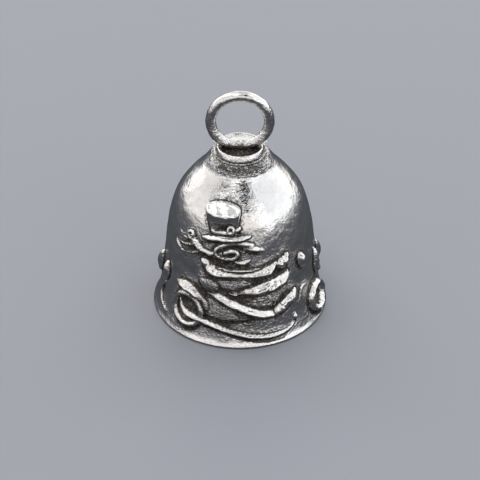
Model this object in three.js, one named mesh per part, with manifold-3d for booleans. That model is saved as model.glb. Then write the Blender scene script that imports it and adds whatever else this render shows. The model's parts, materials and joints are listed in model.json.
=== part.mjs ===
// A small cast pewter hanging bell, 25.4 mm across the rim and 36 mm tall. A thin cup with a flared rim
// carries a raised design, a collar and a hanging ring stand on its crown, and a clapper hangs inside
// on a wire staple and a jump ring.
//
// Millimetres, +Z up. The origin is the centre of the rim's foot, and the hat of the raised design
// faces -Y. A place on the cup's outside is given by its angle round +Z, in degrees from -Y towards
// +X, and by its height.

import * as THREE from "three";
import { mergeVertices } from "three/addons/utils/BufferGeometryUtils.js";
import Module from "manifold-3d";

const wasm = await Module();
wasm.setup();

// ---------------------------------------------------------------- driving dimensions

const RIM_RADIUS = 12.7;
const RIM_FOOT_OUTER = 12.45; // the foot's outer edge, inside the rim's rounding
const RIM_ROUNDING = 0.3;
const RIM_WALL = 1.4;
const CROWN_TOP = 25.7; // top of the cup, where the collar stands
const CROWN_RADIUS = 4.1;
const CROWN_UNDERSIDE = 24.0;
const CUP_SEGMENTS = 60;
const CUP_STEPS = 14; // rows of facets from rim to crown, outside
const CUP_INNER_STEPS = 9;

// The cup's outline, [radius, height], from the rim up to the crown.
const OUTER_OUTLINE = [
  [RIM_RADIUS, RIM_ROUNDING],
  [12.25, 1.1],
  [11.95, 2],
  [11.55, 4],
  [11.15, 7],
  [10.5, 13],
  [10.0, 16],
  [9.05, 19],
  [7.4, 21.5],
  [5.6, 23.6],
  [CROWN_RADIUS, CROWN_TOP],
];
const INNER_OUTLINE = [
  [RIM_RADIUS - RIM_WALL, 0],
  [10.6, 2.2],
  [9.8, 7],
  [9.1, 13],
  [8.5, 16],
  [7.4, 19],
  [5.6, 21.4],
  [3.2, 23.3],
  [0, CROWN_UNDERSIDE],
];

const FIT_GAP = 0.04; // between pieces that touch

const RING_CENTRE_Z = 30.86;
const RING_RADIUS = 4.13; // to the middle of the wire
const RING_WIRE = 0.76; // the wire's radius

const RING_TAB_REACH = 3.87; // of the small flat tab at each side of the ring's foot
const RING_TAB_LENGTH = 1.5;
const RING_TAB_HALF_WIDTH = 0.5;
const RING_TAB_Z = 27.5;
const RING_TAB_HALF_THICKNESS = 0.14;

const COLLAR_FOOT_Z = CROWN_TOP + FIT_GAP;
const COLLAR_FLANGE = 3.72;
const COLLAR_BAND_FOOT = 3.5;
const COLLAR_BAND_TOP = 3.18;
const COLLAR_BAND_TOP_Z = 26.9;
const COLLAR_DISH = 2.7; // radius of the flat hollow in its top
const COLLAR_DISH_Z = 26.62;

const STAPLE_WIRE = 0.35;
const STAPLE_HALF_WIDTH = 1.2;
const STAPLE_BAR_Z = 21.4; // the lowest point of the staple's centre line
const STAPLE_TOP_Z = 25.0; // the legs end inside the crown

const LINK_RADIUS = 1.25;
const LINK_WIRE = 0.3;
const EYE_RADIUS = 0.85;
const EYE_WIRE = 0.3;
const LINK_PLAY = 0.06; // between the staple, the jump ring and the clapper's eye

const BALL_RADIUS = 2.2;
const BALL_Z = 5.0;
const STEM_RADIUS = 0.42;
const STEM_HEAD_RADIUS = 0.75; // the peened end under the ball
const STEM_HEAD_HEIGHT = 0.5;

const BAR_SIDES = 8; // facets round each bar of the raised work
const HAT_ANGLE = -18;
const HAT_TOP_Z = 21.3;
const HAT_TOP_WIDTH = 5.6;
const HAT_TOP_DEPTH = 2.0; // along the cup
const HAT_TOP_PROUD = 1.05;
const HAT_TOP_TILT = 10; // degrees
const HAT_FOOT_Z = 18.6;
const HAT_FOOT_WIDTH = 3.9;
const HAT_LENGTH = 2.9; // from the foot up into the plate
const HAT_CROWN_PROUD = 1.15;

// ---------------------------------------------------------------- solids and cuts

function solid(geometry) {
  const bare = geometry.index ? geometry.toNonIndexed() : geometry.clone();
  bare.deleteAttribute("normal");
  bare.deleteAttribute("uv");
  const merged = mergeVertices(bare, 1e-4);
  return new wasm.Manifold(
    new wasm.Mesh({
      numProp: 3,
      vertProperties: merged.attributes.position.array,
      triVerts: new Uint32Array(merged.index.array),
    }),
  );
}

function geometryOf(shape) {
  const mesh = shape.getMesh();
  const geometry = new THREE.BufferGeometry();
  geometry.setAttribute("position", new THREE.BufferAttribute(mesh.vertProperties, 3));
  geometry.setIndex(new THREE.BufferAttribute(mesh.triVerts, 1));
  geometry.computeVertexNormals();
  return geometry;
}

// Turns an outline of [radius, height] pairs round +Z.
function turned(outline, segments) {
  const points = outline.map(([radius, height]) => new THREE.Vector2(radius, height));
  return new THREE.LatheGeometry(points, segments).rotateX(Math.PI / 2);
}

function smoothOutline(outline, steps) {
  const curve = new THREE.SplineCurve(outline.map(([r, z]) => new THREE.Vector2(r, z)));
  return curve.getPoints(steps).map((point) => [Math.max(point.x, 0), point.y]);
}

function circleShape(radius, sides) {
  const corners = [];
  for (let i = 0; i < sides; i += 1) {
    const turn = (2 * Math.PI * i) / sides;
    corners.push(new THREE.Vector2(radius * Math.cos(turn), radius * Math.sin(turn)));
  }
  return new THREE.Shape(corners);
}

function wireAlong(path, radius, sides, steps) {
  const options = { steps, extrudePath: path, bevelEnabled: false };
  return new THREE.ExtrudeGeometry(circleShape(radius, sides), options);
}

// ---------------------------------------------------------------- the cup

const outerOutline = smoothOutline(OUTER_OUTLINE, CUP_STEPS);
const innerOutline = smoothOutline(INNER_OUTLINE, CUP_INNER_STEPS);

function cupRadius(height) {
  const next = outerOutline.findIndex(([, z]) => z >= height);
  if (next <= 0) return outerOutline[next < 0 ? outerOutline.length - 1 : 0][0];
  const [lowRadius, lowZ] = outerOutline[next - 1];
  const [highRadius, highZ] = outerOutline[next];
  return lowRadius + ((highRadius - lowRadius) * (height - lowZ)) / (highZ - lowZ);
}

// A place on the cup with the directions along it there: round it, up it and out of it.
function spot(angle, height, lift = 0) {
  const turn = THREE.MathUtils.degToRad(angle);
  const outwards = new THREE.Vector3(Math.sin(turn), -Math.cos(turn), 0);
  const step = 0.5;
  const slope = (cupRadius(height + step) - cupRadius(height - step)) / (2 * step);
  const up = outwards.clone().multiplyScalar(slope);
  up.z = 1;
  up.normalize();
  const round = new THREE.Vector3(Math.cos(turn), Math.sin(turn), 0);
  const out = new THREE.Vector3().crossVectors(round, up);
  const at = outwards.clone().multiplyScalar(cupRadius(height));
  at.z = height;
  at.addScaledVector(out, lift);
  return { at, round, up, out };
}

// The solid that pieces on the cup are cut back to: the cup's outside, a fit gap larger.
function cupCutter() {
  const grown = outerOutline.map(([radius, height]) => [radius + FIT_GAP, height]);
  const outline = [[0, -1], [RIM_RADIUS + FIT_GAP, -1], ...grown];
  outline.push([grown.at(-1)[0], CROWN_TOP + 0.2], [0, CROWN_TOP + 0.2]);
  return solid(turned(outline, CUP_SEGMENTS));
}

function stapleHoles() {
  return [-1, 1].map((side) => {
    const bore = new THREE.CylinderGeometry(STAPLE_WIRE + FIT_GAP, STAPLE_WIRE + FIT_GAP, 2, 12);
    bore.rotateX(Math.PI / 2);
    bore.translate(side * STAPLE_HALF_WIDTH, 0, STAPLE_TOP_Z + FIT_GAP - 1);
    return solid(bore);
  });
}

function cup() {
  const outline = [
    ...innerOutline.toReversed(),
    [RIM_FOOT_OUTER, 0],
    ...outerOutline,
    [0, CROWN_TOP],
  ];
  return stapleHoles().reduce(
    (body, hole) => body.subtract(hole),
    solid(turned(outline, CUP_SEGMENTS)),
  );
}

// ---------------------------------------------------------------- the hanger on the crown

function hangingRing(grow = 0) {
  const ring = new THREE.TorusGeometry(RING_RADIUS, RING_WIRE + grow, 12, 40);
  ring.rotateX(Math.PI / 2);
  ring.translate(0, 0, RING_CENTRE_Z);
  return [-1, 1].reduce((shape, side) => {
    const tab = new THREE.SphereGeometry(1, 14, 8);
    tab.scale(RING_TAB_LENGTH / 2 + grow, RING_TAB_HALF_WIDTH + grow, RING_TAB_HALF_THICKNESS + grow);
    tab.translate(side * (RING_TAB_REACH - RING_TAB_LENGTH / 2), 0, RING_TAB_Z);
    return shape.add(solid(tab));
  }, solid(ring));
}

// A foot flange, a band that narrows upwards to a sharp edge, a hollow neck and a low domed top.
function collar() {
  const outline = [
    [0, COLLAR_FOOT_Z],
    [COLLAR_FLANGE, COLLAR_FOOT_Z],
    [COLLAR_FLANGE, COLLAR_FOOT_Z + 0.2],
    [COLLAR_BAND_FOOT - 0.05, COLLAR_FOOT_Z + 0.3],
    [COLLAR_BAND_FOOT, COLLAR_FOOT_Z + 0.42],
    [COLLAR_BAND_TOP, COLLAR_BAND_TOP_Z],
    [COLLAR_BAND_TOP - 0.22, COLLAR_BAND_TOP_Z],
    [COLLAR_DISH, COLLAR_DISH_Z],
    [0, COLLAR_DISH_Z],
  ];
  return solid(turned(outline, 36)).subtract(hangingRing(FIT_GAP));
}

// ---------------------------------------------------------------- staple, jump ring and clapper

function staple() {
  const path = new THREE.CurvePath();
  const bendZ = STAPLE_BAR_Z + STAPLE_HALF_WIDTH;
  const corner = (x, z) => new THREE.Vector3(x, 0, z);
  path.add(
    new THREE.LineCurve3(corner(-STAPLE_HALF_WIDTH, STAPLE_TOP_Z), corner(-STAPLE_HALF_WIDTH, bendZ)),
  );
  const bend = new THREE.EllipseCurve(0, bendZ, STAPLE_HALF_WIDTH, STAPLE_HALF_WIDTH, Math.PI, 2 * Math.PI);
  const bendPoints = bend.getPoints(12).map((point) => corner(point.x, point.y));
  path.add(new THREE.CatmullRomCurve3(bendPoints));
  path.add(
    new THREE.LineCurve3(corner(STAPLE_HALF_WIDTH, bendZ), corner(STAPLE_HALF_WIDTH, STAPLE_TOP_Z)),
  );
  return solid(wireAlong(path, STAPLE_WIRE, 10, 28));
}

// The jump ring hangs over the staple's bar, in the plane of Y and Z.
const linkCentreZ = STAPLE_BAR_Z + STAPLE_WIRE + LINK_PLAY + LINK_WIRE - LINK_RADIUS;
const linkBottomZ = linkCentreZ - LINK_RADIUS;

function jumpRing() {
  const ring = new THREE.TorusGeometry(LINK_RADIUS, LINK_WIRE, 10, 24);
  ring.rotateY(Math.PI / 2);
  ring.translate(0, 0, linkCentreZ);
  return solid(ring);
}

// The clapper's eye goes round the jump ring's lowest wire, in the plane of X and Z.
const eyeCentreZ = linkBottomZ + LINK_WIRE + LINK_PLAY + EYE_WIRE - EYE_RADIUS;

function clapperWire(grow = 0) {
  const eye = new THREE.TorusGeometry(EYE_RADIUS, EYE_WIRE, 10, 24);
  eye.rotateX(Math.PI / 2);
  eye.translate(0, 0, eyeCentreZ);
  const stemTop = eyeCentreZ - EYE_RADIUS;
  const stemFoot = BALL_Z - BALL_RADIUS;
  const stem = turned(
    [
      [0, stemFoot - STEM_HEAD_HEIGHT - grow],
      [STEM_HEAD_RADIUS * 0.7, stemFoot - STEM_HEAD_HEIGHT - grow],
      [STEM_HEAD_RADIUS + grow, stemFoot - STEM_HEAD_HEIGHT / 2],
      [STEM_HEAD_RADIUS + grow, stemFoot + grow],
      [STEM_RADIUS + grow, stemFoot + grow],
      [STEM_RADIUS + grow, stemTop],
      [0, stemTop],
    ],
    14,
  );
  return solid(stem).add(solid(eye));
}

function clapperBall() {
  const ball = new THREE.SphereGeometry(BALL_RADIUS, 24, 16);
  ball.rotateX(Math.PI / 2);
  ball.translate(0, 0, BALL_Z);
  return solid(ball).subtract(clapperWire(FIT_GAP));
}

// ---------------------------------------------------------------- raised work on the cup

// A round bar that follows the cup through [angle, height] places. Its radius runs from startRadius to
// endRadius and closes at both ends: fullness 2 makes a leaf, and 6 a bar with blunt round ends.
function bar(places, [startRadius, endRadius], lift = 0.1, fullness = 6, steps = 12) {
  return (grow) => {
    const line = new THREE.SplineCurve(places.map(([angle, height]) => new THREE.Vector2(angle, height)));
    const outline = [];
    for (let i = 0; i <= steps; i += 1) {
      const along = 0.5 - 0.5 * Math.cos((Math.PI * i) / steps);
      const closing = Math.sqrt(1 - Math.abs(2 * along - 1) ** fullness);
      const radius = THREE.MathUtils.lerp(startRadius, endRadius, along) + grow;
      outline.push(new THREE.Vector2(radius * closing, along));
    }
    const geometry = new THREE.LatheGeometry(outline, BAR_SIDES);
    const corners = geometry.attributes.position;
    const placeAt = (along) => {
      const place = line.getPoint(THREE.MathUtils.clamp(along, 0, 1));
      return spot(place.x, place.y, lift);
    };
    for (let i = 0; i < corners.count; i += 1) {
      const along = corners.getY(i);
      const { at, out } = placeAt(along);
      const ahead = placeAt(along + 0.01).at.sub(placeAt(along - 0.01).at).normalize();
      const side = new THREE.Vector3().crossVectors(ahead, out).normalize();
      at.addScaledVector(side, corners.getX(i)).addScaledVector(out, corners.getZ(i));
      corners.setXYZ(i, at.x, at.y, at.z);
    }
    return solid(geometry);
  };
}

// An egg-shaped swelling: half-sizes along its length, across it and out of the cup, turned in degrees.
function swelling(angle, height, [along, across, proud], turn = 0) {
  return (grow) => {
    const { at, round, up, out } = spot(angle, height);
    const egg = new THREE.SphereGeometry(1, 12, 8);
    egg.scale(along + grow, across + grow, proud + grow);
    egg.rotateZ(THREE.MathUtils.degToRad(turn));
    egg.applyMatrix4(new THREE.Matrix4().makeBasis(round, up, out).setPosition(at));
    return solid(egg);
  };
}

// A ring that lies on the cup.
function hoop(angle, height, radius, wire) {
  return (grow) => {
    const { at, round, up, out } = spot(angle, height, wire * 0.2);
    const ring = new THREE.TorusGeometry(radius, wire + grow, 8, 20);
    ring.applyMatrix4(new THREE.Matrix4().makeBasis(round, up, out).setPosition(at));
    return solid(ring);
  };
}

// The hat's flat top: an oval plate that lies on the cup, its front edge higher than its back.
function hatTop(grow) {
  const { at, round, up, out } = spot(HAT_ANGLE, HAT_TOP_Z);
  const plate = new THREE.CylinderGeometry(1, 1, 2 * (HAT_TOP_PROUD + grow), 28);
  plate.rotateX(Math.PI / 2);
  plate.scale(HAT_TOP_WIDTH / 2 + grow, HAT_TOP_DEPTH / 2 + grow, 1);
  plate.rotateX(-THREE.MathUtils.degToRad(HAT_TOP_TILT));
  plate.applyMatrix4(new THREE.Matrix4().makeBasis(round, up, out).setPosition(at));
  return solid(plate);
}

// The hat's crown: an oval drum, wider at its top, that stands out of the cup below the plate.
function hatCrown(grow) {
  const { at, round, up, out } = spot(HAT_ANGLE, HAT_FOOT_Z);
  const topRadius = HAT_TOP_WIDTH / 2 + grow;
  const drum = new THREE.CylinderGeometry(topRadius, HAT_FOOT_WIDTH / 2 + grow, HAT_LENGTH, 28);
  drum.scale(1, 1, (2 * HAT_CROWN_PROUD) / HAT_TOP_WIDTH);
  drum.translate(0, HAT_LENGTH / 2, 0);
  drum.applyMatrix4(new THREE.Matrix4().makeBasis(round, up, out).setPosition(at));
  return solid(drum);
}

const RAISED_WORK = {
  hat_band: bar([[-29, 18.5], [-17, 18.2], [-4, 18.8]], [0.42, 0.42], 0.55, 6, 8),
  hat_buckle: swelling(-8, 18.85, [0.62, 0.68, 1.1]),
  hat_top: hatTop,
  hat_crown: hatCrown,
  hat_brim: bar([[-37, 17.25], [-26, 17.05], [-13, 17.15], [0, 17.5], [11, 18.05]], [0.45, 0.45], 0.35, 3),
  volute: bar(
    [
      [5, 16.3],
      [-3, 16.65],
      [-12, 16.45],
      [-18.5, 15.6],
      [-15.5, 14.85],
      [-9.5, 14.75],
      [-7, 15.3],
      [-10.5, 15.6],
    ],
    [0.34, 0.28],
    0.15,
    6,
    24,
  ),
  volute_leaf: bar([[7.5, 16.1], [13, 15.8], [20, 15.35]], [0.44, 0.3], 0.15, 2, 8),
  small_leaf: bar([[-4, 14.3], [2, 13.95], [8, 13.9]], [0.3, 0.3], 0.12, 2, 8),
  fern_curl: hoop(-43.5, 16.5, 0.5, 0.26),
  fern_stem: bar([[-39.5, 15.9], [-35, 15.65], [-29, 15.35]], [0.36, 0.36], 0.15, 4, 8),
  fern_leaf: bar([[-28.5, 14.65], [-24, 14.7], [-20.5, 15.0]], [0.36, 0.36], 0.12, 2, 8),
  frond_1: bar([[-42.5, 15.3], [-49, 15.35], [-56, 16.0]], [0.3, 0.2], 0.08, 3, 8),
  frond_2: bar([[-41, 14.65], [-49, 14.5], [-60, 15.2]], [0.3, 0.2], 0.08, 3, 8),
  frond_3: bar([[-36, 14.1], [-46, 13.65], [-55, 13.9]], [0.3, 0.2], 0.08, 3, 8),
  frond_4: bar([[-45.5, 12.65], [-53, 12.95], [-63, 13.8]], [0.26, 0.18], 0.08, 3, 8),
  ribbon: bar([[-19, 12.5], [-10, 12.1], [1, 11.95], [14, 12.3], [29, 13.0]], [0.5, 0.58], 0.15, 6, 14),
  ribbon_knot_1: swelling(-25, 12.85, [0.95, 0.85, 0.8], -20),
  ribbon_knot_2: swelling(37, 13.2, [1.15, 0.85, 0.9], 18),
  middle_swag: bar([[-1, 9.35], [12, 9.75], [26, 10.4], [40, 11.2]], [0.62, 0.86], 0.1, 3, 14),
  middle_swag_tail: bar([[-10, 9.25], [-6, 9.15], [-2.5, 9.05]], [0.3, 0.3], 0.15, 2, 6),
  middle_knot: swelling(-21, 9.9, [1.25, 0.85, 0.6], -10),
  lower_swag: bar([[-24, 8.5], [-11, 7.7], [0, 6.7], [11, 5.8], [24, 5.1]], [0.72, 0.95], 0.1, 4, 16),
  lower_swag_end: bar([[27.5, 4.9], [37, 5.6], [48, 7.2]], [0.85, 0.65], 0.1, 4, 10),
  base_cord: bar(
    [
      [-49, 5.5],
      [-45, 4.3],
      [-36, 4.0],
      [-24, 3.65],
      [-12, 3.15],
      [0, 2.6],
      [12, 2.15],
      [22, 1.95],
      [33, 1.95],
      [44, 2.6],
    ],
    [0.36, 0.36],
    0.15,
    10,
    26,
  ),
  left_ring: hoop(-47, 4.1, 2.3, 0.42),
  left_leaf: bar([[-57, 7.5], [-47, 8.35], [-38, 8.1], [-29, 7.1]], [0.7, 0.6], 0.05, 2.4, 10),
  left_drop_1: bar([[-69, 7.0], [-71, 8.5], [-70, 10.0]], [0.5, 0.45], 0.1, 2.4, 8),
  left_drop_2: bar([[-86, 5.4], [-88, 7.4], [-87, 9.2]], [0.55, 0.5], 0.1, 2.4, 8),
  left_arc: bar([[-71, 5.6], [-75.5, 3.8], [-76.5, 1.9]], [0.26, 0.26], 0.1, 3, 8),
  side_drop_1: bar([[55, 10.0], [54, 11.3], [53, 12.5]], [0.62, 0.5], 0.12, 2.4, 8),
  side_drop_2: bar([[76, 7.2], [77, 9.3], [75.5, 11.5]], [0.72, 0.6], 0.1, 2.4, 8),
  side_drop_3: bar([[96, 6.0], [97, 7.9], [95, 9.6]], [0.6, 0.55], 0.1, 2.4, 8),
  right_ring: hoop(72, 3.8, 2.1, 0.46),
  right_ring_boss: swelling(72, 3.8, [1.1, 1.1, 0.45]),
  right_arc: bar([[51.5, 3.8], [52, 5.8], [56.5, 7.1], [64, 7.6]], [0.24, 0.24], 0.1, 3, 10),
  base_bead: swelling(48.5, 3.6, [0.4, 0.55, 0.5], -20),
  back_cord: bar(
    [
      [85, 6.2],
      [98, 4.4],
      [120, 3.2],
      [150, 2.6],
      [180, 2.5],
      [210, 2.6],
      [240, 3.2],
      [262, 4.6],
      [272, 6.2],
    ],
    [0.36, 0.36],
    0.12,
    10,
    26,
  ),
  back_swag_upper: bar([[134, 12], [156, 9.9], [180, 9.2], [204, 9.9], [226, 12]], [0.6, 0.6], 0.1, 4, 18),
  back_swag_lower: bar([[125, 8.8], [152, 6.7], [180, 6], [208, 6.7], [235, 8.8]], [0.7, 0.7], 0.1, 4, 20),
  back_knot_1: swelling(126.5, 12.6, [1.0, 1.0, 0.8]),
  back_knot_2: swelling(233.5, 12.6, [1.0, 1.0, 0.8]),
  back_leaf_1: bar([[150, 15.2], [165, 14.3], [177.5, 15.6]], [0.55, 0.4], 0.1, 2.2, 10),
  back_leaf_2: bar([[210, 15.2], [195, 14.3], [182.5, 15.6]], [0.55, 0.4], 0.1, 2.2, 10),
};

// Each piece is cut back to the cup, and to the pieces listed before it.
function raisedWork() {
  const cutter = cupCutter();
  const made = {};
  const cutters = [];
  for (const [name, build] of Object.entries(RAISED_WORK)) {
    made[name] = cutters.reduce((shape, other) => shape.subtract(other), build(0).subtract(cutter));
    cutters.push(build(FIT_GAP));
  }
  return made;
}

// ---------------------------------------------------------------- materials and assembly

const POLISHED_PEWTER = { color: 0xb9b8b4, roughness: 0.22, metalness: 1 };
const CAST_PEWTER = { color: 0x9a9996, roughness: 0.4, metalness: 1 };
const STEEL_WIRE = { color: 0xa8a9ab, roughness: 0.3, metalness: 1 };

const bell = new THREE.Group();

function addPiece(name, shape, finish) {
  const piece = new THREE.Mesh(geometryOf(shape), new THREE.MeshStandardMaterial(finish));
  piece.name = name;
  bell.add(piece);
}

addPiece("bell_cup", cup(), POLISHED_PEWTER);
addPiece("collar", collar(), POLISHED_PEWTER);
addPiece("hanging_ring", hangingRing(), POLISHED_PEWTER);
addPiece("clapper_staple", staple(), STEEL_WIRE);
addPiece("jump_ring", jumpRing(), STEEL_WIRE);
addPiece("clapper_wire", clapperWire(), STEEL_WIRE);
addPiece("clapper_ball", clapperBall(), CAST_PEWTER);
for (const [name, shape] of Object.entries(raisedWork())) addPiece(name, shape, POLISHED_PEWTER);

export default bell;
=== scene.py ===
"""A small cast pewter bell with raised work, polished bright on its high places and dark in its hollows.

Everything is in the frame's own axes: +Z up, the front towards -Y. Lengths are in millimetres until a mesh
is made, which is in metres. A place on the cup is [angle, height]: its angle round +Z, in degrees from the
front towards +X, and its height in millimetres.
"""

import json
import math

import bmesh
import bpy
import numpy as np
from mathutils import Matrix, Vector, noise


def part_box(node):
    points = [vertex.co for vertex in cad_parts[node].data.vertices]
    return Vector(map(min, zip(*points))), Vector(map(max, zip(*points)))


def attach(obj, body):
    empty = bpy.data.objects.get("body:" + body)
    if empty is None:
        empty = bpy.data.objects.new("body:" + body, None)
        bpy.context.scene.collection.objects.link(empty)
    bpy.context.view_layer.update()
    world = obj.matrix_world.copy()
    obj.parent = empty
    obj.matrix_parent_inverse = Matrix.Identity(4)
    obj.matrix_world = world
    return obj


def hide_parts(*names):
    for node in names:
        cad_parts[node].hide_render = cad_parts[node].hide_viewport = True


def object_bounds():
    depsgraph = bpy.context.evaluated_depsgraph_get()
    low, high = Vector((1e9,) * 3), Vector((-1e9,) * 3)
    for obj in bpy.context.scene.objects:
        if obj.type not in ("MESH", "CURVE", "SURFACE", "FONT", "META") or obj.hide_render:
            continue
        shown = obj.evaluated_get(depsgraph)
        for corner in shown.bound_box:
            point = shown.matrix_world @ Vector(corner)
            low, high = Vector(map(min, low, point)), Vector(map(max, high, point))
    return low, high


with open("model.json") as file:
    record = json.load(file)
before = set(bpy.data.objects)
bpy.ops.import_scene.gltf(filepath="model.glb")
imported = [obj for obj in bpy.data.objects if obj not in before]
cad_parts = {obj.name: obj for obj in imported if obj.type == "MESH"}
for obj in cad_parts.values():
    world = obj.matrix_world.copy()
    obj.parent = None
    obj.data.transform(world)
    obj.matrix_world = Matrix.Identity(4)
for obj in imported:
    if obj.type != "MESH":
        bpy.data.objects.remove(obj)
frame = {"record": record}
cad_low, cad_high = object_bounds()

MM = 0.001
MERGE_DISTANCE = 1e-7
RAISED_NODES = frame["record"]["physics"]["no_collision_nodes"]

# ------------------------------------------------------------------------------ camera

CAMERA_ELEVATION = math.radians(35.4)
CAMERA_DISTANCE = 0.35
CAMERA_LENS = 182.8
AIM = Vector((0, -0.0036, 0.0129))


def make_camera():
    back = Vector((0, -math.cos(CAMERA_ELEVATION), math.sin(CAMERA_ELEVATION)))
    data = bpy.data.cameras.new("camera")
    data.sensor_width = 36
    data.lens = CAMERA_LENS
    data.clip_start = 0.01
    camera = bpy.data.objects.new("camera", data)
    camera.rotation_mode = "QUATERNION"
    camera.rotation_quaternion = back.to_track_quat("Z", "Y")
    camera.location = AIM + back * CAMERA_DISTANCE
    bpy.context.scene.collection.objects.link(camera)
    bpy.context.scene.camera = camera


make_camera()
bpy.context.scene.view_settings.view_transform = "Standard"
bpy.context.scene.view_settings.look = "Medium High Contrast"

# ------------------------------------------------------------------------------ finishes


class Value:
    """A shader socket that takes part in sums."""

    def __init__(self, nodes, socket):
        self.nodes, self.socket = nodes, socket

    def sum(self, operation, first, second):
        return self.nodes.node("ShaderNodeMath", {"operation": operation}, {0: first, 1: second})

    def __add__(self, other):
        return self.sum("ADD", self, other)

    def __sub__(self, other):
        return self.sum("SUBTRACT", self, other)

    def __mul__(self, other):
        return self.sum("MULTIPLY", self, other)

    def __rsub__(self, other):
        return self.sum("SUBTRACT", other, self)

    __radd__ = __add__
    __rmul__ = __mul__

    def limited(self):
        return self.nodes.node("ShaderNodeClamp", {}, {"Value": self})

    def stepped(self, low, high):
        """0 under low, 1 over high and smooth between them."""
        return self.nodes.node(
            "ShaderNodeMapRange",
            {"interpolation_type": "SMOOTHSTEP"},
            {"Value": self, "From Min": low, "From Max": high},
        )


class Nodes:
    """A node tree and the one method that adds its nodes."""

    def __init__(self, owner):
        owner.use_nodes = True
        self.owner = owner
        self.tree = owner.node_tree
        self.tree.nodes.clear()

    def node(self, kind, settings, sockets, out=0):
        made = self.tree.nodes.new(kind)
        for key, setting in settings.items():
            if key == "stops":
                while len(made.color_ramp.elements) < len(setting):
                    made.color_ramp.elements.new(1)
                for stop, (position, colour) in zip(made.color_ramp.elements, setting):
                    stop.position, stop.color = position, colour
            else:
                setattr(made, key, setting)
        for key, value in sockets.items():
            if isinstance(value, Value):
                self.tree.links.new(value.socket, made.inputs[key])
            else:
                made.inputs[key].default_value = value
        return Value(self, made.outputs[out]) if len(made.outputs) else made


class Finish(Nodes):
    """A material, with the nodes that most finishes use."""

    def __init__(self, name):
        super().__init__(bpy.data.materials.new(name))

    def millimetres(self, stretch=(1, 1, 1)):
        """The place on the piece, in millimetres, stretched along each axis."""
        place = self.node("ShaderNodeTexCoord", {}, {}, "Object")
        scale = tuple(1000 * share for share in stretch)
        return self.node("ShaderNodeVectorMath", {"operation": "MULTIPLY"}, {0: place, 1: scale})

    def noise(self, at, scale, detail=3.0, roughness=0.5, distortion=0.0):
        sockets = {
            "Vector": at,
            "Scale": scale,
            "Detail": detail,
            "Roughness": roughness,
            "Distortion": distortion,
        }
        return self.node("ShaderNodeTexNoise", {}, sockets)

    def attribute(self, name):
        return self.node("ShaderNodeAttribute", {"attribute_name": name}, {}, "Fac")

    def mixed(self, share, first, second):
        return self.node("ShaderNodeMix", {"data_type": "RGBA"}, {"Factor": share, 6: first, 7: second}, 2)

    def bumped(self, height, distance, under=None):
        sockets = {"Height": height, "Distance": distance}
        if under is not None:
            sockets["Normal"] = under
        return self.node("ShaderNodeBump", {}, sockets)

    def shaded(self, **sockets):
        named = {key.replace("_", " "): value for key, value in sockets.items()}
        shader = self.node("ShaderNodeBsdfPrincipled", {}, named)
        self.node("ShaderNodeOutputMaterial", {}, {"Surface": shader})
        return self.owner


BRIGHT_PEWTER = (0.80, 0.78, 0.765, 1)
GREY_PEWTER = (0.52, 0.51, 0.50, 1)
DULL_PEWTER = (0.30, 0.29, 0.28, 1)
# Near-black of the patina in the hollows, also used for the painted shade under and beside the raised
# forms.
DARK_PATINA_AND_SHADE = (0.045, 0.041, 0.038, 1)
WARM_PATINA = (0.25, 0.21, 0.175, 1)
BRIGHT_STEEL = (0.60, 0.60, 0.61, 1)
DULL_STEEL = (0.22, 0.20, 0.19, 1)
FLOOR_GREYS = (0.33, 0.34, 0.375, 1), (0.355, 0.365, 0.40, 1)
MATT_BLACK = (0.012, 0.012, 0.012, 1)


def polished_pewter(name):
    """Pewter polished by hand: wavy and bright, darkened with patina and painted shade where the attribute
    "dark" says so and rough as cast where "grain" says so."""
    finish = Finish(name)
    at = finish.millimetres()
    patches = finish.noise(at, 0.9, 4.0, 0.55)
    speckle = finish.noise(at, 2.9, 3.0, 0.7)
    swept = finish.noise(finish.millimetres((2.2, 2.2, 9.0)), 1.0, 3.0, 0.6)
    as_cast = finish.attribute("grain")
    ragged = finish.attribute("dark") + (speckle - 0.5) * 1.4 + (patches - 0.5) * 0.3
    darkened = ragged.stepped(0.3, 0.72)
    worn = finish.mixed(patches.stepped(0.4, 0.85) * 0.3, BRIGHT_PEWTER, GREY_PEWTER)
    # Patina and painted shade: near-black, warmer where the speckle is high.
    patina_and_shade = finish.mixed(speckle.stepped(0.45, 0.72), DARK_PATINA_AND_SHADE, WARM_PATINA)
    colour = finish.mixed(darkened, worn, patina_and_shade)
    roughness = (0.015 + patches * 0.03 + swept * 0.03 + darkened * 0.2 + as_cast * 0.05).limited()
    waves = finish.noise(at, 0.6, 2.0, 0.45)
    ripples = finish.noise(at, 2.3, 3.0, 0.6, 0.8)
    coarse = finish.noise(at, 2.4, 2.0, 0.8)
    bump = finish.bumped(waves, 0.0001)
    bump = finish.bumped(ripples, 0.00004, bump)
    bump = finish.bumped(swept, 0.00001, bump)
    bump = finish.bumped(coarse * (as_cast + darkened * 0.1), 0.0004, bump)
    return finish.shaded(Base_Color=colour, Metallic=1.0 - darkened * 0.4, Roughness=roughness, Normal=bump)


def cast_pewter(name):
    """Pewter left as it came out of the mould: dull, grey and pitted."""
    finish = Finish(name)
    at = finish.millimetres()
    patches = finish.noise(at, 0.7, 4.0, 0.6)
    pits = finish.noise(at, 4.5, 4.0, 0.7)
    colour = finish.mixed(patches.stepped(0.3, 0.75), DULL_PEWTER, GREY_PEWTER)
    dulled = finish.mixed(pits.stepped(0.52, 0.75) * 0.6, colour, WARM_PATINA)
    bump = finish.bumped(pits, 0.00003, finish.bumped(patches, 0.00008))
    return finish.shaded(Base_Color=dulled, Metallic=1.0, Roughness=0.34 + pits * 0.28, Normal=bump)


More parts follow.
